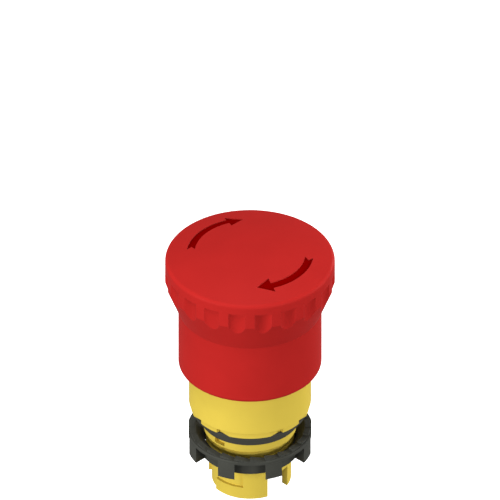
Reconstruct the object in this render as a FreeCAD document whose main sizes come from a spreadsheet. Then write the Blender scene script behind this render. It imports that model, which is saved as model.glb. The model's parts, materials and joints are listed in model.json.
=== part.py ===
# Emergency stop button of the 22 mm panel class: push to latch, twist clockwise to release.
# Heights are measured from the barrel's lower rim while the pieces are made. At the end every piece is
# lowered by the barrel's depth behind the panel, so that z = 0 is the panel's front face and +Z points
# towards the hand. Angles are counter-clockwise seen from above, with 0 along +X.
import FreeCAD, Part
import math
import os
from types import SimpleNamespace

import Sketcher
from FreeCAD import Placement, Rotation, Vector

DRIVING_SIZES = {
    # mushroom cap
    "cap_radius": 20.0,
    "cap_top": 65.33,
    "dome_radius": 76.0,
    "dome_round": 1.0,
    "rim_base": 56.38,
    "rim_round": 0.3,
    "skirt_radius": 16.88,
    "skirt_top": 48.49,
    "skirt_base": 32.68,
    "skirt_round": 1.0,
    "skirt_wall": 1.5,
    "ceiling_wall": 2.4,
    "rim_inside": 17.4,
    "boss_radius": 8.6,
    "boss_base": 52.8,
    "socket_radius": 6.6,
    "socket_top": 61.2,
    "flute_count": 20,
    "flute_radius": 3.19,
    "flute_axis": 22.37,
    "flute_top": 60.22,
    "flute_length": 9.0,
    # release arrows
    "arrow_middle": 14.0,
    "arrow_width": 1.89,
    "arrow_head_inner": 11.6,
    "arrow_head_outer": 16.2,
    "arrow_tail_angle": -6.7,
    "arrow_notch_angle": -10.5,
    "arrow_head_angle": -68.0,
    "arrow_tip_angle": -83.7,
    "arrow_sunk": 0.28,
    "arrow_thick": 0.17,
    # hub with the release cam, turning with the cap
    "hub_radius": 6.5,
    "hub_bore": 3.1,
    "hub_top": 58.6,
    "hub_key_width": 2.0,
    "hub_key_reach": 7.4,
    "hub_key_base": 54.0,
    "cam_radius": 10.3,
    "cam_base": 36.2,
    "cam_thick": 2.0,
    "cam_turn": 40.0,
    "cam_overrun": 2.0,
    "peg_radius": 0.9,
    "peg_reach": 8.0,
    "peg_play": 0.1,
    "pin_travel": 1.2,
    # torsion spring
    "twist_coil": 4.1,
    "twist_wire": 0.35,
    "twist_pitch": 0.8,
    "twist_turns": 3.0,
    "twist_room": 4.9,
    "twist_room_height": 3.6,
    "twist_leg": 1.2,
    # plunger
    "stem_top_radius": 3.0,
    "stem_radius": 3.6,
    "stem_foot_radius": 2.8,
    "stem_top": 60.6,
    "stem_foot": 6.1,
    "spigot_radius": 5.2,
    "spigot_base": 24.0,
    "carrier_radius": 10.4,
    "carrier_base": 28.8,
    "carrier_top": 35.9,
    "carrier_key_width": 3.0,
    "carrier_key_reach": 11.5,
    # clips on the stem
    "clip_thick": 0.6,
    "clip_depth": 0.55,
    "clip_groove": 0.65,
    "head_clip_base": 59.22,
    "head_clip_radius": 4.6,
    "pusher_clip_base": 6.72,
    "pusher_clip_radius": 4.3,
    "thrust_base": 58.65,
    "thrust_thick": 0.5,
    "thrust_radius": 5.4,
    # latch pins
    "pin_radius": 1.5,
    "pin_height": 32.2,
    "pin_back": 5.6,
    "pin_tip": 10.75,
    "pin_taper": 0.8,
    "pin_play": 0.05,
    "pin_channel_end": 3.2,
    "latch_coil": 1.0,
    "latch_wire": 0.15,
    "latch_pitch": 0.55,
    # latch sleeve and guide bush
    "sleeve_radius": 12.6,
    "sleeve_bore": 11.0,
    "sleeve_base": 22.25,
    "sleeve_top": 38.95,
    "groove_radius": 11.7,
    "groove_low": 24.2,
    "groove_high": 28.2,
    "groove_bevel": 0.4,
    "keyway_width": 3.3,
    "keyway_reach": 11.85,
    "bush_base": 39.0,
    "bush_flange_radius": 13.6,
    "bush_flange_thick": 1.0,
    "seal_room": 9.45,
    "seal_floor": 42.65,
    "seal_web": 0.8,
    "seal_web_thick": 0.6,
    "lip_thick": 0.5,
    "lip_rise": 0.7,
    "lip_tip": 0.2,
    # springs and stops on the axis
    "return_coil": 6.4,
    "return_wire": 0.45,
    "return_turns": 5.0,
    "seat_thick": 0.6,
    "seat_radius": 8.2,
    "seat_bore": 4.2,
    "pusher_radius": 7.4,
    "pusher_base": 7.4,
    "pusher_top": 10.25,
    "pusher_hub": 4.6,
    "pusher_plate": 1.3,
    "bumper_radius": 6.0,
    "bumper_top": 12.2,
    # yellow housing
    "collar_radius": 14.4,
    "collar_base": 21.89,
    "housing_top": 43.8,
    "chamber_radius": 12.65,
    "chamber_floor": 22.2,
    "spring_room": 8.4,
    "web_top": 16.4,
    "web_base": 12.5,
    "web_bore": 3.7,
    "band_base": 20.47,
    "band_radius": 14.0,
    "band_flat": 12.7,
    "band_tab_width": 5.2,
    "band_tab_radius": 13.9,
    "shank_radius": 10.87,
    "shank_base": 14.4,
    "panel_plane": 16.84,
    "groove_floor": 10.5,
    "thread_root": 10.05,
    "thread_crest": 10.45,
    "thread_base": 6.5,
    "thread_pitch": 1.75,
    "thread_gap_width": 3.9,
    "key_pocket_width": 3.0,
    "key_pocket_floor": 9.7,
    "key_pocket_base": 14.77,
    "key_pocket_angle": -131.4,
    "lower_radius": 9.72,
    "lower_bore": 8.05,
    "slot_width": 6.5,
    "slot_top": 5.7,
    "recess_radius": 9.0,
    "channel_start": 181.0,
    "window_start": -145.7,
    "window_end": -99.8,
    "window_sill": 3.21,
    "window_top": 8.3,
    "notch_start": 145.0,
    "notch_top": 1.83,
    # panel gasket
    "gasket_radius": 13.5,
    "gasket_flange": 1.07,
    "gasket_sleeve": 11.72,
    "gasket_bore": 10.55,
    "gasket_bevel": 0.45,
    # fixing nut
    "nut_base": 8.9,
    "nut_hub": 12.0,
    "nut_flange_root": 12.0,
    "nut_flange_base": 13.13,
    "nut_flange_top": 14.0,
    "nut_flange_radius": 14.76,
    "nut_flat": 14.45,
    "nut_counterbore": 12.9,
    "nut_floor": 12.45,
    "nut_floor_radius": 11.15,
    "nut_slot_width": 7.3,
    "nut_root": 10.95,
    "nut_crest": 10.52,
    "tooth_count": 24,
    "tooth_reach": 14.25,
    "tooth_height": 0.53,
    "tooth_length": 3.3,
    "tooth_land": 0.3,
    # edges
    "edge_round": 0.2,
}

EDGE_TOLERANCE = 1e-3
OVERLAP = 0.1
PLAY = 0.05
HAIR_PLAY = 0.025
BEYOND = 1.0
DIAGONALS = (45, 135)
SIDES = {"right": 0, "left": 180}
FULL_TURN = 360
NUT_SLOT_ANGLES = (0, 45, 90, 135)
ADAPTER_SLOT_ANGLE = -45
THREAD_FOOT_SHARE = 0.25
THREAD_TIP_SHARE = 0.125
CLIP_MOUTH_SHARE = 0.6
GROUND_END_SHARE = 0.3

doc = FreeCAD.newDocument("emergency_stop_button")
sheet = doc.addObject("Spreadsheet::Sheet", "Sizes")
for row, (alias, number) in enumerate(DRIVING_SIZES.items(), start=1):
    sheet.set(f"A{row}", alias)
    sheet.set(f"B{row}", str(number))
    sheet.setAlias(f"B{row}", alias)
doc.recompute()


class Size:
    """A number together with the expression that binds it to the sheet."""

    def __init__(self, value, text):
        self.value = value
        self.text = text

    def joined(self, sign, other, value):
        return Size(value, f"({self.text} {sign} {other.text})")

    def __add__(self, other):
        other = as_size(other)
        return self.joined("+", other, self.value + other.value)

    def __sub__(self, other):
        other = as_size(other)
        return self.joined("-", other, self.value - other.value)

    def __mul__(self, other):
        other = as_size(other)
        return self.joined("*", other, self.value * other.value)

    def __truediv__(self, other):
        other = as_size(other)
        return self.joined("/", other, self.value / other.value)

    def __neg__(self):
        return Size(-self.value, f"(-1 * {self.text})")


def as_size(number):
    return number if isinstance(number, Size) else Size(float(number), str(float(number)))


def square_root(size):
    return Size(math.sqrt(size.value), f"sqrt({size.text})")


def at_angle(radius, angle):
    """The point at that radius and angle, as two sizes."""
    turn = math.radians(angle.value)
    across = radius * Size(math.cos(turn), f"cos({angle.text})")
    along = radius * Size(math.sin(turn), f"sin({angle.text})")
    return across, along


d = SimpleNamespace(**{alias: Size(float(sheet.get(alias)), f"Sizes.{alias}") for alias in DRIVING_SIZES})
dome_centre = d.cap_top - d.dome_radius


# ---------------------------------------------------------------- sketches and features


def bind(thing, prop, size):
    thing.setExpression(prop, as_size(size).text)


def pin_down(sketch, geometry, end, size, along_x):
    """Fixes one coordinate of a sketch point."""
    kind = "DistanceX" if along_x else "DistanceY"
    axis = -2 if along_x else -1
    size = as_size(size)
    if size.value == 0:
        sketch.addConstraint(Sketcher.Constraint("PointOnObject", geometry, end, axis))
        return
    if size.value > 0:
        index = sketch.addConstraint(Sketcher.Constraint(kind, -1, 1, geometry, end, size.value))
        text = size.text
    else:
        index = sketch.addConstraint(Sketcher.Constraint(kind, geometry, end, -1, 1, -size.value))
        text = (-size).text
    name = f"{kind}{index}"
    sketch.renameConstraint(index, name)
    sketch.setExpression(f"Constraints.{name}", text)


def fix_radius(sketch, geometry, radius):
    index = sketch.addConstraint(Sketcher.Constraint("Radius", geometry, radius.value))
    name = f"Radius{index}"
    sketch.renameConstraint(index, name)
    sketch.setExpression(f"Constraints.{name}", radius.text)


def arc_between(start, end, radius, side):
    """The short arc from start to end; side is 1 with its centre on the left of the way, -1 on the right."""
    chord = end - start
    middle = (start + end) * 0.5
    left = Vector(-chord.y, chord.x, 0).normalize()
    centre = middle + left * (side * math.sqrt(radius**2 - (chord.Length / 2) ** 2))
    first, last = (start, end) if side > 0 else (end, start)
    circle = Part.Circle(centre, Vector(0, 0, 1), radius)
    return Part.ArcOfCircle(circle, circle.parameter(first), circle.parameter(last))


def outline(sketch, corners, arcs=None):
    """A closed outline; arcs gives, for a corner's number, the radius and side of the arc that leaves it."""
    arcs = arcs or {}
    points = [Vector(as_size(x).value, as_size(y).value, 0) for x, y in corners]
    ends = []
    for number, start in enumerate(points):
        end = points[(number + 1) % len(points)]
        if number in arcs:
            radius, side = arcs[number]
            geometry = sketch.addGeometry(arc_between(start, end, radius.value, side))
            ends.append((geometry, 1, 2) if side > 0 else (geometry, 2, 1))
        else:
            ends.append((sketch.addGeometry(Part.LineSegment(start, end)), 1, 2))
    for number, (geometry, first, last) in enumerate(ends):
        following, start_of_next, _ = ends[(number + 1) % len(ends)]
        sketch.addConstraint(Sketcher.Constraint("Coincident", geometry, last, following, start_of_next))
    for (geometry, first, last), (x, y) in zip(ends, corners):
        pin_down(sketch, geometry, first, x, True)
        pin_down(sketch, geometry, first, y, False)
    for number, (radius, side) in arcs.items():
        fix_radius(sketch, ends[number][0], radius)


def sketch_on(body, role, height=None):
    sketch = body.newObject("Sketcher::SketchObject", body.Name + "_sketch")
    plane = next(f for f in body.Origin.OriginFeatures if f.Role == role)
    sketch.AttachmentSupport = (plane, [""])
    sketch.MapMode = "FlatFace"
    if height is not None:
        bind(sketch, "AttachmentOffset.Base.z", height)
    return sketch


def turned(name, corners, arcs=None):
    """A body turned about the Z axis from a half section of (radius, height) corners."""
    body = doc.addObject("PartDesign::Body", name)
    sketch = sketch_on(body, "XZ_Plane")
    outline(sketch, corners, arcs)
    turn = body.newObject("PartDesign::Revolution", name + "_turn")
    turn.Profile = sketch
    turn.ReferenceAxis = (sketch, ["V_Axis"])
    turn.Angle = 360
    doc.recompute()
    return body


def rounded(body, size, places, kind="Fillet"):
    """Rounds or bevels the circular edges at the given (radius, height) places."""
    base = body.Tip
    names = []
    for number, edge in enumerate(base.Shape.Edges, start=1):
        box = edge.BoundBox
        for radius, height in places:
            level = max(abs(box.ZMin - height.value), abs(box.ZMax - height.value)) < EDGE_TOLERANCE
            if level and abs(box.XMax - radius.value) < EDGE_TOLERANCE:
                names.append(f"Edge{number}")
    if len(names) != len(places):
        raise ValueError(f"{body.Name}: found {names} for {len(places)} places")
    feature = body.newObject("PartDesign::" + kind, body.Name + "_" + kind.lower())
    feature.Base = (base, names)
    bind(feature, "Radius" if kind == "Fillet" else "Size", size)
    doc.recompute()
    return body


def repeated(body, feature, count):
    pattern = body.newObject("PartDesign::PolarPattern", body.Name + "_pattern")
    pattern.Originals = [feature]
    axis = next(f for f in body.Origin.OriginFeatures if f.Role == "Z_Axis")
    pattern.Axis = (axis, [""])
    pattern.Angle = 360
    bind(pattern, "Occurrences", count)
    body.Tip = pattern
    doc.recompute()


def cylinder(radius, low, high):
    solid = doc.addObject("Part::Cylinder", "round_bar")
    bind(solid, "Radius", radius)
    bind(solid, "Height", as_size(high) - low)
    bind(solid, "Placement.Base.z", low)
    return solid


def tube(outer, inner, low, high):
    return cut(cylinder(outer, low, high), cylinder(inner, as_size(low) - 1, as_size(high) + 1))


def block(left, right, front, back, low, high, turn=0):
    """A square bar, turned about the Z axis."""
    solid = doc.addObject("Part::Box", "square_bar")
    cosine, sine = at_angle(as_size(1), as_size(turn))
    bind(solid, "Length", as_size(right) - left)
    bind(solid, "Width", as_size(back) - front)
    bind(solid, "Height", as_size(high) - low)
    bind(solid, "Placement.Base.x", cosine * left - sine * front)
    bind(solid, "Placement.Base.y", sine * left + cosine * front)
    bind(solid, "Placement.Base.z", low)
    bind(solid, "Placement.Rotation.Angle", turn)
    return solid


def cross(width, reach, low, high, angles):
    """Bars of one width through the axis, one for each angle."""
    half = width / 2
    return fused([block(-reach, reach, -half, half, low, high, angle) for angle in angles])


def sector(radius, inner, start, end, low, high):
    """A ring segment between two angles."""
    solid = cylinder(radius, low, high)
    bind(solid, "Angle", end - start)
    bind(solid, "Placement.Rotation.Angle", start)
    return cut(solid, cylinder(inner, as_size(low) - 1, as_size(high) + 1))


def fused(solids, name="joined"):
    joined = doc.addObject("Part::MultiFuse", name)
    joined.Shapes = solids
    joined.Refine = True
    return joined


def common(first, second, name="shared"):
    shared = doc.addObject("Part::MultiCommon", name)
    shared.Shapes = [first, second]
    return shared


def cut(base, tool, name="trimmed"):
    rest = doc.addObject("Part::Cut", name)
    rest.Base = base
    rest.Tool = tool
    rest.Refine = True
    return rest


def coil(radius, wire, pitch, height, frame):
    """A round wire wound along the frame's own Z axis, from its origin."""
    path = doc.addObject("Part::Helix", "wire_path")
    bind(path, "Radius", radius)
    bind(path, "Pitch", pitch)
    bind(path, "Height", height)
    path.Placement = frame
    section = doc.addObject("Part::Circle", "wire_section")
    bind(section, "Radius", wire)
    section.Placement = frame.multiply(Placement(Vector(radius.value, 0, 0), Rotation(Vector(1, 0, 0), 90)))
    return swept(path, section)


def swept(path, section):
    doc.recompute()
    sweep = doc.addObject("Part::Sweep", "swept")
    sweep.Sections = [section]
    sweep.Spine = (path, [f"Edge{number + 1}" for number in range(len(path.Shape.Edges))])
    sweep.Solid = True
    sweep.Frenet = True
    return sweep


def thread_ridge(root, crest, low, high):
    """A helical ridge from root to crest radius; crest may lie inside or outside root."""
    wide = d.thread_pitch * THREAD_FOOT_SHARE
    narrow = d.thread_pitch * THREAD_TIP_SHARE
    buried = root - OVERLAP if crest.value > root.value else root + OVERLAP
    path = doc.addObject("Part::Helix", "ridge_path")
    bind(path, "Radius", root)
    bind(path, "Pitch", d.thread_pitch)
    bind(path, "Height", as_size(high) - low - wide * 2)
    bind(path, "Placement.Base.z", low + wide)
    section = doc.addObject("Sketcher::SketchObject", "ridge_section")
    section.Placement.Rotation = Rotation(Vector(1, 0, 0), 90)
    outline(section, [
        (buried, low),
        (crest, low + wide - narrow),
        (crest, low + wide + narrow),
        (buried, low + wide * 2),
    ])
    return swept(path, section)


# ---------------------------------------------------------------- the yellow housing and its seal


def make_housing():
    band_core = d.band_flat - OVERLAP
    core = turned("housing_core", [
        (d.lower_bore, 0),
        (d.lower_radius, 0),
        (d.lower_radius, d.thread_base),
        (d.thread_root, d.thread_base),
        (d.thread_root, d.shank_base),
        (d.shank_radius, d.shank_base),
        (d.shank_radius, d.panel_plane),
        (d.groove_floor, d.panel_plane),
        (d.groove_floor, d.band_base),
        (band_core, d.band_base),
        (band_core, d.collar_base),
        (d.collar_radius, d.collar_base),
        (d.collar_radius, d.housing_top),
        (d.chamber_radius, d.housing_top),
        (d.chamber_radius, d.chamber_floor),
        (d.spring_room, d.chamber_floor),
        (d.spring_room, d.web_top),
        (d.web_bore, d.web_top),
        (d.web_bore, d.web_base),
        (d.lower_bore, d.web_base),
    ])
    rounded(core, d.edge_round, [
        (d.collar_radius, d.collar_base),
        (d.collar_radius, d.housing_top),
        (d.lower_radius, as_size(0)),
    ])
    far = d.collar_radius + BEYOND
    band = common(
        cylinder(d.band_radius, d.band_base, d.collar_base),
        block(-d.band_flat, d.band_flat, -d.band_flat, d.band_flat, d.band_base, d.collar_base, 45),
    )
    tabs = common(
        cylinder(d.band_tab_radius, d.band_base, d.collar_base),
        cross(d.band_tab_width, far, d.band_base, d.collar_base, DIAGONALS),
    )
    inside_band = cylinder(band_core - OVERLAP, d.band_base - BEYOND, d.collar_base + BEYOND)
    band_ring = cut(fused([band, tabs]), inside_band)
    ridge = thread_ridge(d.thread_root, d.thread_crest, d.thread_base, d.shank_base)
    gaps = cut(
        cross(d.thread_gap_width, d.shank_radius, d.thread_base, d.shank_base, DIAGONALS),
        cylinder(d.thread_root, d.thread_base - BEYOND, d.shank_base + BEYOND),
    )
    solid = fused([core, band_ring, cut(ridge, gaps)])
    key_pocket = block(
        d.key_pocket_floor, far, -d.key_pocket_width / 2, d.key_pocket_width / 2,
        d.key_pocket_base, d.panel_plane, d.key_pocket_angle,
    )
    slots = block(-far, far, -d.slot_width / 2, d.slot_width / 2, -BEYOND, d.slot_top, ADAPTER_SLOT_ANGLE)
    tracks = []
    for twin in SIDES.values():
        tracks += [
            sector(far, d.recess_radius, d.channel_start + twin, d.window_start + FULL_TURN + twin,
                   -BEYOND, d.window_top),
            sector(far, d.recess_radius, d.window_start + twin, d.window_end + twin,
                   d.window_sill, d.window_top),
        ]
    notch = sector(far, d.recess_radius, d.notch_start, d.channel_start, -BEYOND, d.notch_top)
    return cut(solid, fused([key_pocket, slots, notch] + tracks))


def make_panel_gasket():
    flange_base = d.band_base - d.gasket_flange
    ring = turned("gasket_ring", [
        (d.gasket_bore + d.gasket_bevel, d.panel_plane),
        (d.gasket_sleeve, d.panel_plane),
        (d.gasket_sleeve, flange_base),
        (d.gasket_radius, flange_base),
        (d.gasket_radius, d.band_base),
        (d.gasket_bore, d.band_base),
        (d.gasket_bore, d.panel_plane + d.gasket_bevel),
    ])
    return rounded(ring, d.edge_round, [(d.gasket_radius, flange_base), (d.gasket_sleeve, d.panel_plane)])


# ---------------------------------------------------------------- the nut behind the panel


def make_fixing_nut():
    body = turned("nut_body", [
        (d.nut_root, d.nut_base),
        (d.nut_hub, d.nut_base),
        (d.nut_hub, d.nut_flange_root),
        (d.nut_flange_radius, d.nut_flange_base),
        (d.nut_flange_radius, d.nut_flange_top),
        (d.nut_counterbore, d.nut_flange_top),
        (d.nut_floor_radius, d.nut_floor),
        (d.nut_root, d.nut_floor),
    ])
    rounded(body, d.edge_round, [
        (d.nut_flange_radius, d.nut_flange_top),
        (d.nut_flange_radius, d.nut_flange_base),
    ])
    flats = block(-d.nut_flat, d.nut_flat, -d.nut_flat, d.nut_flat, d.nut_base - BEYOND,
                  d.nut_flange_top + BEYOND)
    lug_ring = tube(d.nut_flange_radius, d.nut_hub - OVERLAP, d.nut_base, d.nut_flange_base)
    far = d.nut_flange_radius + BEYOND
    slots = cross(d.nut_slot_width, far, d.nut_base - BEYOND, d.nut_flange_base, NUT_SLOT_ANGLES)
    slots_outside_hub = cut(slots, cylinder(d.nut_hub, d.nut_base - BEYOND * 2, d.nut_flange_base + BEYOND))
    ridge = thread_ridge(d.nut_root, d.nut_crest, d.nut_base, d.nut_floor)
    return fused([common(body, flats), cut(lug_ring, slots_outside_hub), make_nut_teeth(), ridge])


def make_nut_teeth():
    """A ring of saw teeth, each with its steep side clockwise of its ramp seen from above."""
    sunk = d.nut_flange_top - OVERLAP * 2
    crown = turned("nut_crown", [
        (d.nut_counterbore - BEYOND, sunk),
        (d.tooth_reach + BEYOND, sunk),
        (d.tooth_reach + BEYOND, d.nut_flange_top),
        (d.nut_counterbore - BEYOND, d.nut_flange_top),
    ])
    sketch = sketch_on(crown, "XZ_Plane", d.nut_counterbore - BEYOND / 2)
    outline(sketch, [
        (0, d.nut_flange_top - OVERLAP),
        (d.tooth_length, d.nut_flange_top - OVERLAP),
        (d.tooth_length, d.nut_flange_top),
        (d.tooth_land, d.nut_flange_top + d.tooth_height),
        (0, d.nut_flange_top + d.tooth_height),
    ])
    tooth = crown.newObject("PartDesign::Pad", "nut_tooth")
    tooth.Profile = sketch
    bind(tooth, "Length", d.tooth_reach - d.nut_counterbore + BEYOND)
    doc.recompute()
    repeated(crown, tooth, d.tooth_count)
    return common(crown, tube(d.tooth_reach, d.nut_counterbore, sunk, d.nut_flange_top + BEYOND * 2))


# ---------------------------------------------------------------- the mushroom head


def arrow_bar(turn):
    """An upright bar with the arrow's outline; the arrow points clockwise seen from above."""
    sketch = doc.addObject("Sketcher::SketchObject", "arrow_outline")
    inner = d.arrow_middle - d.arrow_width / 2
    outer = d.arrow_middle + d.arrow_width / 2
    outline(sketch, [
        at_angle(outer, d.arrow_tail_angle),
        at_angle(outer, d.arrow_head_angle),
        at_angle(d.arrow_head_outer, d.arrow_head_angle),
        at_angle(d.arrow_middle, d.arrow_tip_angle),
        at_angle(d.arrow_head_inner, d.arrow_head_angle),
        at_angle(inner, d.arrow_head_angle),
        at_angle(inner, d.arrow_tail_angle),
        at_angle(d.arrow_middle, d.arrow_notch_angle),
    ], {0: (outer, -1), 5: (inner, 1)})
    bar = doc.addObject("Part::Extrusion", "arrow_bar")
    bar.Base = sketch
    bar.DirMode = "Normal"
    bar.Solid = True
    bind(bar, "LengthFwd", d.cap_top + BEYOND)
    bar.Placement.Rotation = Rotation(Vector(0, 0, 1), turn)
    return bar


def dome_ball(depth):
    """The ball whose top is the dome sunk by that depth."""
    ball = doc.addObject("Part::Sphere", "dome_ball")
    bind(ball, "Radius", d.dome_radius - depth)
    bind(ball, "Placement.Base.z", dome_centre)
    return ball


def make_release_arrow(turn):
    sheet_of_ink = cut(arrow_bar(turn), dome_ball(d.arrow_sunk + d.arrow_thick))
    return common(sheet_of_ink, dome_ball(d.arrow_sunk))


def make_mushroom_cap():
    def dome_height(radius, depth=0):
        return dome_centre + square_root((d.dome_radius - depth) * (d.dome_radius - depth) - radius * radius)

    rim_top = dome_height(d.cap_radius)
    skirt_inside = d.skirt_radius - d.skirt_wall
    shell = turned("cap_shell", [
        (0, d.cap_top),
        (d.cap_radius, rim_top),
        (d.cap_radius, d.rim_base),
        (d.skirt_radius, d.skirt_top),
        (d.skirt_radius, d.skirt_base),
        (skirt_inside, d.skirt_base),
        (skirt_inside, d.skirt_top + d.skirt_wall / 4),
        (d.rim_inside, d.rim_base - d.skirt_wall),
        (d.rim_inside, dome_height(d.rim_inside, d.ceiling_wall)),
        (d.boss_radius, dome_height(d.boss_radius, d.ceiling_wall)),
        (d.boss_radius, d.boss_base),
        (d.socket_radius, d.boss_base),
        (d.socket_radius, d.socket_top),
        (0, d.socket_top),
    ], {0: (d.dome_radius, -1), 8: (d.dome_radius - d.ceiling_wall, 1)})
    rounded(shell, d.dome_round, [(d.cap_radius, rim_top)])
    rounded(shell, d.skirt_round, [(d.skirt_radius, d.skirt_base)])
    rounded(shell, d.rim_round, [(d.cap_radius, d.rim_base)])
    sketch = sketch_on(shell, "XY_Plane", d.flute_top)
    flute_x, flute_y = at_angle(d.flute_axis, as_size(180) / d.flute_count)
    circle = sketch.addGeometry(Part.Circle(Vector(flute_x.value, flute_y.value, 0), Vector(0, 0, 1),
                                            d.flute_radius.value))
    pin_down(sketch, circle, 3, flute_x, True)
    pin_down(sketch, circle, 3, flute_y, False)
    fix_radius(sketch, circle, d.flute_radius)
    flute = shell.newObject("PartDesign::Pocket", "cap_flute")
    flute.Profile = sketch
    bind(flute, "Length", d.flute_length)
    doc.recompute()
    repeated(shell, flute, d.flute_count)
    arrows = cut(fused([arrow_bar(turn) for turn in SIDES.values()]), dome_ball(d.arrow_sunk + d.arrow_thick))
    key_reach = d.hub_key_reach + OVERLAP
    key_half = d.hub_key_width / 2 + OVERLAP
    key_slots = block(-key_reach, key_reach, -key_half, key_half, d.boss_base - BEYOND, d.hub_top + OVERLAP)
    return cut(shell, fused([arrows, key_slots]))


def cam_slots():
    """Two slots that draw the pegs inwards evenly as the hub turns clockwise."""
    def on_spiral(angle):
        radius = d.peg_reach.value - d.pin_travel.value * angle / d.cam_turn.value
        turn = math.radians(angle)
        return Vector(radius * math.cos(turn), radius * math.sin(turn), d.cam_base.value - BEYOND)

    start = -d.cam_overrun.value
    end = d.cam_turn.value + d.cam_overrun.value
    middle = Part.Wire(Part.Arc(on_spiral(start), on_spiral((start + end) / 2), on_spiral(end)).toShape())
    face = Part.Face(middle.makeOffset2D(d.peg_radius.value + d.peg_play.value))
    slot = face.extrude(Vector(0, 0, d.cam_thick.value + 2 * BEYOND))
    other_slot = slot.copy()
    other_slot.rotate(Vector(0, 0, 0), Vector(0, 0, 1), 180)
    tool = doc.addObject("Part::Feature", "cam_slots")
    tool.Shape = slot.fuse(other_slot)
    return tool


def make_cam_hub():
    recess_top = d.cam_base + d.twist_room_height
    core = turned("hub_core", [
        (d.twist_room, d.cam_base),
        (d.cam_radius, d.cam_base),
        (d.cam_radius, d.cam_base + d.cam_thick),
        (d.hub_radius, d.cam_base + d.cam_thick),
        (d.hub_radius, d.hub_top),
        (d.hub_bore, d.hub_top),
        (d.hub_bore, recess_top),
        (d.twist_room, recess_top),
    ])
    keys = cut(
        block(-d.hub_key_reach, d.hub_key_reach, -d.hub_key_width / 2, d.hub_key_width / 2,
              d.hub_key_base, d.hub_top),
        cylinder(d.hub_radius - OVERLAP, d.hub_key_base - BEYOND, d.hub_top + BEYOND),
    )
    leg_hole = leg(d.twist_wire + OVERLAP, recess_top - OVERLAP, recess_top + d.twist_leg + OVERLAP)
    return cut(fused([core, keys]), fused([cam_slots(), leg_hole]))


def leg(radius, low, high):
    """An upright bar on the torsion spring's coil, where its wire starts and ends."""
    bar = cylinder(radius, low, high)
    bind(bar, "Placement.Base.x", d.twist_coil)
    return bar


def make_torsion_spring():
    start = d.carrier_top + d.twist_wire + OVERLAP
    height = d.twist_pitch * d.twist_turns
    foot = Placement(Vector(0, 0, start.value), Rotation())
    winding = coil(d.twist_coil, d.twist_wire, d.twist_pitch, height, foot)
    lower_leg = leg(d.twist_wire, d.carrier_top - d.twist_leg, start)
    upper_leg = leg(d.twist_wire, start + height, d.cam_base + d.twist_room_height + d.twist_leg)
    return fused([winding, lower_leg, upper_leg])


# ---------------------------------------------------------------- the plunger and what rides on it


def make_plunger():
    shoulder = d.pusher_top + PLAY
    head_groove = d.stem_top_radius - d.clip_depth
    foot_groove = d.stem_foot_radius - d.clip_depth
    core = turned("plunger_core", [
        (0, d.stem_foot),
        (d.stem_foot_radius, d.stem_foot),
        (d.stem_foot_radius, d.pusher_clip_base),
        (foot_groove, d.pusher_clip_base),
        (foot_groove, d.pusher_clip_base + d.clip_groove),
        (d.stem_foot_radius, d.pusher_clip_base + d.clip_groove),
        (d.stem_foot_radius, shoulder),
        (d.stem_radius, shoulder),
        (d.stem_radius, d.spigot_base),
        (d.spigot_radius, d.spigot_base),
        (d.spigot_radius, d.carrier_base),
        (d.carrier_radius, d.carrier_base),
        (d.carrier_radius, d.carrier_top),
        (d.stem_top_radius, d.carrier_top),
        (d.stem_top_radius, d.head_clip_base),
        (head_groove, d.head_clip_base),
        (head_groove, d.head_clip_base + d.clip_groove),
        (d.stem_top_radius, d.head_clip_base + d.clip_groove),
        (d.stem_top_radius, d.stem_top),
        (0, d.stem_top),
    ])
    rounded(core, d.edge_round, [
        (d.stem_foot_radius, d.stem_foot),
        (d.stem_top_radius, d.stem_top),
        (d.spigot_radius, d.spigot_base),
    ], "Chamfer")
    key_half = d.carrier_key_width / 2
    key_reach = d.carrier_key_reach
    keys = block(-key_half, key_half, -key_reach, key_reach, d.carrier_base, d.carrier_top)
    cuts = [leg(d.twist_wire + OVERLAP, d.carrier_top - d.twist_leg - OVERLAP, d.carrier_top + BEYOND)]
    slot_half = d.peg_radius + d.peg_play
    slot_inner = d.peg_reach - d.pin_travel - slot_half
    slot_outer = d.peg_reach + slot_half
    for turn in SIDES.values():
        cuts.append(radial_bar(d.pin_radius + d.pin_play, d.pin_channel_end, d.carrier_radius + BEYOND, turn))
        cuts.append(block(slot_inner, slot_outer, -slot_half, slot_half, d.pin_height,
                          d.carrier_top + BEYOND, turn))
    return cut(fused([core, keys]), fused(cuts))


def radial_frame(start, turn):
    """A frame on the pins' level whose Z axis points outwards at that angle."""
    outwards = Placement(Vector(start.value, 0, d.pin_height.value), Rotation(Vector(0, 1, 0), 90))
    return Placement(Vector(0, 0, 0), Rotation(Vector(0, 0, 1), turn)).multiply(outwards)


def radial_bar(radius, start, end, turn):
    bar = doc.addObject("Part::Cylinder", "radial_bar")
    bind(bar, "Radius", radius)
    bind(bar, "Height", end - start)
    bar.Placement = radial_frame(start, turn)
    return bar


def make_latch_pin(turn):
    shoulder = d.pin_tip - d.pin_taper
    nose = doc.addObject("Part::Cone", "pin_nose")
    bind(nose, "Radius1", d.pin_radius)
    bind(nose, "Radius2", d.pin_radius / 2)
    bind(nose, "Height", d.pin_taper)
    nose.Placement = radial_frame(shoulder, turn)
    peg = cylinder(d.peg_radius, d.pin_height, d.cam_base + d.cam_thick - OVERLAP * 2)
    peg_x, peg_y = at_angle(d.peg_reach, as_size(turn))
    bind(peg, "Placement.Base.x", peg_x)
    bind(peg, "Placement.Base.y", peg_y)
    return fused([radial_bar(d.pin_radius, d.pin_back, shoulder, turn), nose, peg])


def make_latch_spring(turn):
    start = d.pin_channel_end + d.latch_wire + PLAY
    length = d.pin_back - d.latch_wire - PLAY - start
    return coil(d.latch_coil, d.latch_wire, d.latch_pitch, length, radial_frame(start, turn))


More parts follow.
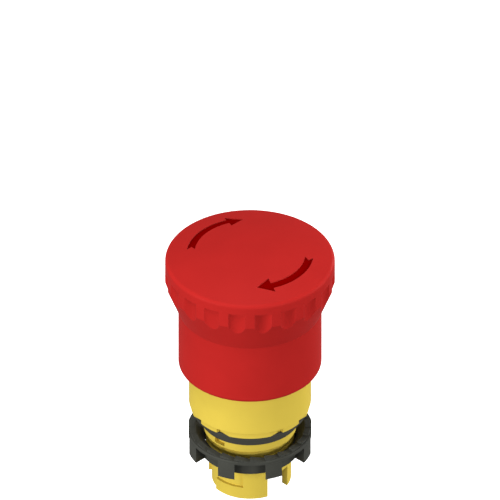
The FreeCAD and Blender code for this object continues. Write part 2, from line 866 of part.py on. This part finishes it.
def make_clip(low, radius, stem_radius):
    bore = stem_radius - d.clip_depth + HAIR_PLAY
    gap = stem_radius * CLIP_MOUTH_SHARE
    ring = tube(radius, bore, low, low + d.clip_thick)
    return cut(ring, block(0, radius + BEYOND, -gap, gap, low - BEYOND, low + d.clip_thick + BEYOND))


def make_contact_pusher():
    bore = d.stem_foot_radius + PLAY
    plate = turned("pusher_plate", [
        (bore, d.pusher_base),
        (d.pusher_radius, d.pusher_base),
        (d.pusher_radius, d.pusher_base + d.pusher_plate),
        (d.pusher_hub, d.pusher_base + d.pusher_plate),
        (d.pusher_hub, d.pusher_top),
        (bore, d.pusher_top),
    ])
    return rounded(plate, d.edge_round, [(d.pusher_radius, d.pusher_base)], "Chamfer")


def make_bumper_ring():
    base = d.pusher_top + PLAY
    ring = turned("bumper", [
        (d.stem_radius + PLAY, base),
        (d.bumper_radius, base),
        (d.bumper_radius, d.bumper_top),
        (d.stem_radius + PLAY, d.bumper_top),
    ])
    return rounded(ring, d.edge_round, [(d.bumper_radius, base), (d.bumper_radius, d.bumper_top)])


# ---------------------------------------------------------------- fixed pieces inside the housing


def make_return_spring():
    seat = d.web_top + d.seat_thick + HAIR_PLAY
    top = d.carrier_base - HAIR_PLAY
    inset = d.return_wire * GROUND_END_SHARE
    height = top - seat - inset * 2
    frame = Placement(Vector(0, 0, (seat + inset).value), Rotation())
    winding = coil(d.return_coil, d.return_wire, height / d.return_turns, height, frame)
    return common(winding, cylinder(d.spring_room, seat, top))


def make_latch_sleeve():
    sleeve = turned("sleeve_core", [
        (d.sleeve_bore, d.sleeve_base),
        (d.sleeve_radius, d.sleeve_base),
        (d.sleeve_radius, d.sleeve_top),
        (d.sleeve_bore, d.sleeve_top),
        (d.sleeve_bore, d.groove_high),
        (d.groove_radius, d.groove_high),
        (d.groove_radius, d.groove_low + d.groove_bevel),
        (d.sleeve_bore, d.groove_low),
    ])
    half = d.keyway_width / 2
    return cut(sleeve, block(-half, half, -d.keyway_reach, d.keyway_reach,
                             d.sleeve_base - BEYOND, d.sleeve_top + BEYOND))


def make_guide_bush():
    bore = d.hub_radius + OVERLAP
    return turned("bush_core", [
        (bore, d.bush_base),
        (d.sleeve_radius, d.bush_base),
        (d.sleeve_radius, d.housing_top),
        (d.bush_flange_radius, d.housing_top),
        (d.bush_flange_radius, d.housing_top + d.bush_flange_thick),
        (d.seal_room, d.housing_top + d.bush_flange_thick),
        (d.seal_room, d.seal_floor),
        (bore, d.seal_floor),
    ])


def make_lip_seal():
    heel = d.seal_room - PLAY
    throat = d.hub_radius + d.seal_web
    lip = d.hub_radius + PLAY
    top = d.housing_top + d.bush_flange_thick
    return turned("seal_core", [
        (heel, d.seal_floor),
        (heel, top),
        (throat + d.lip_thick, top),
        (lip + d.lip_tip, top + d.lip_rise),
        (lip, top + d.lip_rise - d.lip_tip),
        (throat, top - d.seal_web_thick),
        (throat, d.seal_floor),
    ])


# ---------------------------------------------------------------- all nodes, checked and written

NODES = {
    "mushroom_cap": make_mushroom_cap(),
    "cam_hub": make_cam_hub(),
    "torsion_spring": make_torsion_spring(),
    "plunger": make_plunger(),
    "thrust_washer": tube(d.thrust_radius, d.stem_top_radius + PLAY, d.thrust_base,
                          d.thrust_base + d.thrust_thick),
    "head_clip": make_clip(d.head_clip_base + HAIR_PLAY, d.head_clip_radius, d.stem_top_radius),
    "contact_pusher": make_contact_pusher(),
    "pusher_clip": make_clip(d.pusher_clip_base + HAIR_PLAY, d.pusher_clip_radius, d.stem_foot_radius),
    "bumper_ring": make_bumper_ring(),
    "housing": make_housing(),
    "panel_gasket": make_panel_gasket(),
    "latch_sleeve": make_latch_sleeve(),
    "guide_bush": make_guide_bush(),
    "lip_seal": make_lip_seal(),
    "return_spring": make_return_spring(),
    "spring_seat": tube(d.seat_radius, d.seat_bore, d.web_top, d.web_top + d.seat_thick),
    "fixing_nut": make_fixing_nut(),
}
for side, turn in SIDES.items():
    NODES["release_arrow_" + side] = make_release_arrow(turn)
    NODES["latch_pin_" + side] = make_latch_pin(turn)
    NODES["latch_spring_" + side] = make_latch_spring(turn)

doc.recompute()
for name, node in NODES.items():
    node.Label = name
    bind(node, "Placement.Base.z", -d.panel_plane)
doc.recompute()

for thing in doc.Objects:
    if {"Invalid", "Error"} & set(thing.State):
        raise RuntimeError(f"{thing.Label} failed: {thing.State}")
os.makedirs("parts", exist_ok=True)
for name, node in NODES.items():
    shape = node.Shape
    if shape.isNull() or not shape.isValid() or not shape.Solids:
        raise RuntimeError(f"{name} has no valid solid")
    print(f"{name}: {len(shape.Solids)} solid, {shape.Volume:.1f} mm3, z {shape.BoundBox.ZMin:.2f} to "
          f"{shape.BoundBox.ZMax:.2f}")
    shape.exportStep(f"parts/{name}.step")
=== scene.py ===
import json
import math

import bpy
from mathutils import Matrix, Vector


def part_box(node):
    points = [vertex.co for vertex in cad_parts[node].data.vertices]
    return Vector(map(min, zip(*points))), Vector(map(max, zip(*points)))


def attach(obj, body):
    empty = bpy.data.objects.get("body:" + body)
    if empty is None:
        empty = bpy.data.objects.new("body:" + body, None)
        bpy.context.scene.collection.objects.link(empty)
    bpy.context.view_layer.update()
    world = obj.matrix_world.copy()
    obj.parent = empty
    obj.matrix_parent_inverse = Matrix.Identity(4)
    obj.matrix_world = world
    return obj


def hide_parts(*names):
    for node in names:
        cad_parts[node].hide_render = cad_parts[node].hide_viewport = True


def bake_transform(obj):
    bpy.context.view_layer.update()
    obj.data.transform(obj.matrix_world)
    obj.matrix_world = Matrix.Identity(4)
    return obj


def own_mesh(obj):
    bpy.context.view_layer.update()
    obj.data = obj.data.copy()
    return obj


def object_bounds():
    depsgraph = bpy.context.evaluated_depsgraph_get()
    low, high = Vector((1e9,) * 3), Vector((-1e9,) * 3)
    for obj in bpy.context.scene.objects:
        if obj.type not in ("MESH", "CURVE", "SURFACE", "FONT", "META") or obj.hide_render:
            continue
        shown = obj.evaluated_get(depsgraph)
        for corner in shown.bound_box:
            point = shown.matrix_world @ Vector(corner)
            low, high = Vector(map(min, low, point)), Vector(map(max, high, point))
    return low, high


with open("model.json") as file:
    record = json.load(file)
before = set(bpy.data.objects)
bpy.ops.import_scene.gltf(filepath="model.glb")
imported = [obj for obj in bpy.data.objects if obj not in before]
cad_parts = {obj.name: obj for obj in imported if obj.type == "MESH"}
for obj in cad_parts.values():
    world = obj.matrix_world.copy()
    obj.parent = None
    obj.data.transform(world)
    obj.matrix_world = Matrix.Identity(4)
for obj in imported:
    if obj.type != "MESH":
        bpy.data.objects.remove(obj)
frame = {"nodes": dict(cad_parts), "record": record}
CAD_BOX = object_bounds()
MM = 0.001
NODES = frame["nodes"]
SCENE = bpy.context.scene

# ---------------------------------------------------------------- camera

ELEVATION = math.radians(35.264)      # isometric
FRAME_WIDTH = 500 / 4.25 * MM         # what the picture's width covers on the object
AIM_BELOW_TOP = 0.36 * MM             # the picture's centre lies on the axis, just under the dome's top
CAMERA_DISTANCE = 0.6
CLIP_NEAR = 0.01
CLIP_FAR = 5


def make_camera():
    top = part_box("mushroom_cap")[1].z
    target = Vector((0, 0, top - AIM_BELOW_TOP))
    back = Vector((0, -math.cos(ELEVATION), math.sin(ELEVATION)))
    data = bpy.data.cameras.new("camera")
    data.type = "ORTHO"
    data.ortho_scale = FRAME_WIDTH
    data.clip_start = CLIP_NEAR
    data.clip_end = CLIP_FAR
    camera = bpy.data.objects.new("camera", data)
    camera.location = target + back * CAMERA_DISTANCE
    camera.rotation_euler = back.to_track_quat("Z", "Y").to_euler()
    SCENE.collection.objects.link(camera)
    SCENE.camera = camera


# ---------------------------------------------------------------- floor and light

WHITE = (1, 1, 1, 1)
FLOOR_DROP = 0.3                      # far enough below for every shadow to fall outside the view
FLOOR_HALF = 4.0
FLOOR_COLOUR = (0.8, 0.8, 0.8, 1)
FLOOR_ROUGHNESS = 0.9
FLOOR_GLOW = 1.0                      # keeps the pale floor plain white wherever the lamps fade
WORLD_STRENGTH = 0.25
LAMP_TARGET = Vector((0, 0, 20 * MM))
LAMP_DISTANCE = 0.95
LAMP_SIZE = 0.35
# name: azimuth and elevation in degrees, then power in watts
# azimuth 0 is the camera's side, and it grows towards +X
LAMPS = {
    "key": (-60, 10, 5.8),
    "front_left": (-35, 10, 3.0),
    "front_right": (40, 10, 3.5),
    "side": (95, 10, 4.9),
    "rim": (140, 10, 3.2),
    "top": (-35, 70, 4.5),
    "back": (180, 70, 2.3),
}


def make_floor():
    level = CAD_BOX[0][2] - FLOOR_DROP
    mesh = bpy.data.meshes.new("floor")
    corners = [(-1, -1), (1, -1), (1, 1), (-1, 1)]
    mesh.from_pydata([(x * FLOOR_HALF, y * FLOOR_HALF, level) for x, y in corners], [], [(0, 1, 2, 3)])
    floor = bpy.data.objects.new("floor", mesh)
    SCENE.collection.objects.link(floor)
    material, _, _, shader = new_material("pale_floor")
    shader.inputs["Base Color"].default_value = FLOOR_COLOUR
    shader.inputs["Roughness"].default_value = FLOOR_ROUGHNESS
    shader.inputs["Emission Color"].default_value = WHITE
    shader.inputs["Emission Strength"].default_value = FLOOR_GLOW
    floor.data.materials.append(material)
    floor.visible_diffuse = False     # the floor stays out of the part's own shading
    floor.visible_glossy = False


def make_lamp(name, azimuth, elevation, power):
    turn, rise = math.radians(azimuth), math.radians(elevation)
    towards = Vector((math.sin(turn) * math.cos(rise), -math.cos(turn) * math.cos(rise), math.sin(rise)))
    data = bpy.data.lights.new(name, "AREA")
    data.shape = "SQUARE"
    data.size = LAMP_SIZE
    data.energy = power
    lamp = bpy.data.objects.new(name, data)
    lamp.location = LAMP_TARGET + towards * LAMP_DISTANCE
    lamp.rotation_euler = towards.to_track_quat("Z", "Y").to_euler()
    SCENE.collection.objects.link(lamp)


def make_light():
    for name, (azimuth, elevation, power) in LAMPS.items():
        make_lamp(name, azimuth, elevation, power)
    world = bpy.data.worlds.new("studio")
    SCENE.world = world
    world.use_nodes = True
    background = world.node_tree.nodes["Background"]
    background.inputs["Color"].default_value = WHITE
    background.inputs["Strength"].default_value = WORLD_STRENGTH


# ---------------------------------------------------------------- materials

BEVEL_SAMPLES = 4
DRIFT_SCALE = 120                     # colour drift, about 8 mm from light to dark
DRIFT_DETAIL = 3
DRIFT_RANGE = (0.3, 0.7)
EDGE_BEND = (0.995, 0.85)             # cosine of the bend where wear starts, and where it is full
WEAR_FADE = 0.25                      # how far a worn edge goes from the colour to white
GRAIN_SIZE = 0.25 * MM
GRAIN_DEPTH = 0.02 * MM
GRAIN_DETAIL = 2
GRAIN_STRENGTH = 0.5
SHEEN_SPREAD = (-0.05, 0.06)          # of a plastic's roughness, either side of its middle
BRUSH_SCALE = 900
BRUSH_DETAIL = 4
BRUSH_STRETCH = (1, 1, 12)
BRUSH_TINT = (0.88, 1.06)             # darkest and lightest share of a metal's colour
BRUSH_SPREAD = (-0.08, 0.12)          # of a metal's roughness
METAL_EDGE = 0.08 * MM
SOFT_EDGE = 0.12 * MM
CRISP_EDGE = 0.07 * MM
CRISPER_EDGE = 0.05 * MM

# name: colour, middle roughness, specular level, and what differs from the usual moulding
PLASTICS = {
    "red_plastic": ((0.41, 0.0165, 0.0145), 0.38, 0.015, {"edge": CRISPER_EDGE}),
    "arrow_ink": ((0.185, 0.0, 0.0), 0.6, 0.0, {"worn": 0.05}),
    "yellow_plastic": ((0.635, 0.476, 0.066), 0.38, 0.02, {"edge": CRISP_EDGE}),
    "black_plastic": ((0.053, 0.054, 0.046), 0.45, 0.05, {"shift": 0.1, "edge": CRISP_EDGE, "worn": 0.08}),
    "gasket_rubber": ((0.052, 0.052, 0.043), 0.65, 0.04, {"shift": 0.1, "worn": 0.05}),
    "seal_rubber": ((0.02, 0.02, 0.02), 0.6, 0.3, {"shift": 0.15, "worn": 0.05}),
    "natural_nylon": ((0.62, 0.58, 0.49), 0.45, 0.4, {}),
    "grey_plastic": ((0.06, 0.065, 0.07), 0.45, 0.4, {"shift": 0.08}),
}
# name: colour, middle roughness
METALS = {
    "zinc_steel": ((0.60, 0.60, 0.57), 0.35),
    "spring_steel": ((0.50, 0.50, 0.50), 0.28),
    "pin_steel": ((0.65, 0.65, 0.65), 0.2),
}


def new_material(name):
    material = bpy.data.materials.new(name)
    material.use_nodes = True
    tree = material.node_tree
    return material, tree.nodes, tree.links, tree.nodes["Principled BSDF"]


def add_noise(nodes, links, place, scale, detail):
    noise = nodes.new("ShaderNodeTexNoise")
    noise.inputs["Scale"].default_value = scale
    noise.inputs["Detail"].default_value = detail
    links.new(place, noise.inputs["Vector"])
    return noise.outputs["Fac"]


def add_tint(nodes, links, share, colour, darkest, lightest):
    """The colour, from its darkest to its lightest share."""
    tint = nodes.new("ShaderNodeValToRGB")
    dark, light = tint.color_ramp.elements
    dark.color = [c * darkest for c in colour] + [1]
    light.color = [min(1, c * lightest) for c in colour] + [1]
    links.new(share, tint.inputs["Fac"])
    return tint


def add_bevel(nodes, radius):
    bevel = nodes.new("ShaderNodeBevel")
    bevel.samples = BEVEL_SAMPLES
    bevel.inputs["Radius"].default_value = radius
    return bevel.outputs["Normal"]


def vary_roughness(nodes, links, shader, share, roughness, spread):
    rough = nodes.new("ShaderNodeMapRange")
    rough.inputs["To Min"].default_value = roughness + spread[0]
    rough.inputs["To Max"].default_value = roughness + spread[1]
    links.new(share, rough.inputs["Value"])
    links.new(rough.outputs["Result"], shader.inputs["Roughness"])


def add_wear(nodes, links, shader, tint, rounded, colour, worn):
    """Fades the colour on edges, where the rounded normal leaves the face's own."""
    geometry = nodes.new("ShaderNodeNewGeometry")
    bend = nodes.new("ShaderNodeVectorMath")
    bend.operation = "DOT_PRODUCT"
    links.new(rounded, bend.inputs[0])
    links.new(geometry.outputs["Normal"], bend.inputs[1])
    rub = nodes.new("ShaderNodeMapRange")
    rub.inputs["From Min"].default_value = EDGE_BEND[0]
    rub.inputs["From Max"].default_value = EDGE_BEND[1]
    rub.inputs["To Min"].default_value = 0
    rub.inputs["To Max"].default_value = worn
    links.new(bend.outputs["Value"], rub.inputs["Value"])
    wear = nodes.new("ShaderNodeMix")
    wear.data_type = "RGBA"
    links.new(rub.outputs["Result"], wear.inputs["Factor"])
    links.new(tint.outputs["Color"], wear.inputs["A"])
    wear.inputs["B"].default_value = [c + (1 - c) * WEAR_FADE for c in colour] + [1]
    links.new(wear.outputs["Result"], shader.inputs["Base Color"])


def moulded(name, colour, roughness, gloss, shift=0.03, edge=SOFT_EDGE, worn=0.15):
    """A moulded plastic or rubber: fine eroded grain, slow colour drift, softened and slightly worn edges."""
    material, nodes, links, shader = new_material(name)
    place = nodes.new("ShaderNodeTexCoord").outputs["Object"]
    drift = add_noise(nodes, links, place, DRIFT_SCALE, DRIFT_DETAIL)
    tint = add_tint(nodes, links, drift, colour, 1 - shift, 1 + shift)
    for element, position in zip(tint.color_ramp.elements, DRIFT_RANGE):
        element.position = position
    rounded = add_bevel(nodes, edge)
    add_wear(nodes, links, shader, tint, rounded, colour, worn)
    bump = nodes.new("ShaderNodeBump")
    bump.inputs["Strength"].default_value = GRAIN_STRENGTH
    bump.inputs["Distance"].default_value = GRAIN_DEPTH
    links.new(add_noise(nodes, links, place, 1 / GRAIN_SIZE, GRAIN_DETAIL), bump.inputs["Height"])
    links.new(rounded, bump.inputs["Normal"])
    links.new(bump.outputs["Normal"], shader.inputs["Normal"])
    vary_roughness(nodes, links, shader, drift, roughness, SHEEN_SPREAD)
    shader.inputs["Specular IOR Level"].default_value = gloss
    return material


def metal(name, colour, roughness):
    """Steel with fine lines, round the part's axis."""
    material, nodes, links, shader = new_material(name)
    place = nodes.new("ShaderNodeTexCoord").outputs["Object"]
    stretch = nodes.new("ShaderNodeMapping")
    stretch.inputs["Scale"].default_value = BRUSH_STRETCH
    links.new(place, stretch.inputs["Vector"])
    lines = add_noise(nodes, links, stretch.outputs["Vector"], BRUSH_SCALE, BRUSH_DETAIL)
    tint = add_tint(nodes, links, lines, colour, *BRUSH_TINT)
    links.new(tint.outputs["Color"], shader.inputs["Base Color"])
    shader.inputs["Metallic"].default_value = 1
    vary_roughness(nodes, links, shader, lines, roughness, BRUSH_SPREAD)
    links.new(add_bevel(nodes, METAL_EDGE), shader.inputs["Normal"])
    return material


def dress_nodes():
    finishes = {name: moulded(name, *look, **special) for name, (*look, special) in PLASTICS.items()}
    finishes.update({name: metal(name, *look) for name, look in METALS.items()})
    for entry in frame["record"]["subparts"]:
        node = NODES[entry["node"]]
        node.data.materials.clear()
        node.data.materials.append(finishes[entry["material_slot"]])


# ---------------------------------------------------------------- springs as own copies of the CAD coils


def live_spring(node, body=None):
    """The CAD spring's coils again, as a separate piece, parented to a body if one is given; the CAD node is
    hidden.
    """
    piece = bpy.data.objects.new(f"{node}_coils", NODES[node].data.copy())
    SCENE.collection.objects.link(piece)
    if body:
        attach(piece, body)
    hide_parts(node)
    return piece


def make_live_springs():
    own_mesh(live_spring("return_spring", "housing"))
    for side, hand in (("right", 1), ("left", -1)):
        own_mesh(live_spring(f"latch_spring_{side}", "plunger"))
    coils = live_spring("torsion_spring")
    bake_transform(coils)


SCENE.view_settings.view_transform = "Standard"
make_camera()
make_light()
make_floor()
dress_nodes()
make_live_springs()
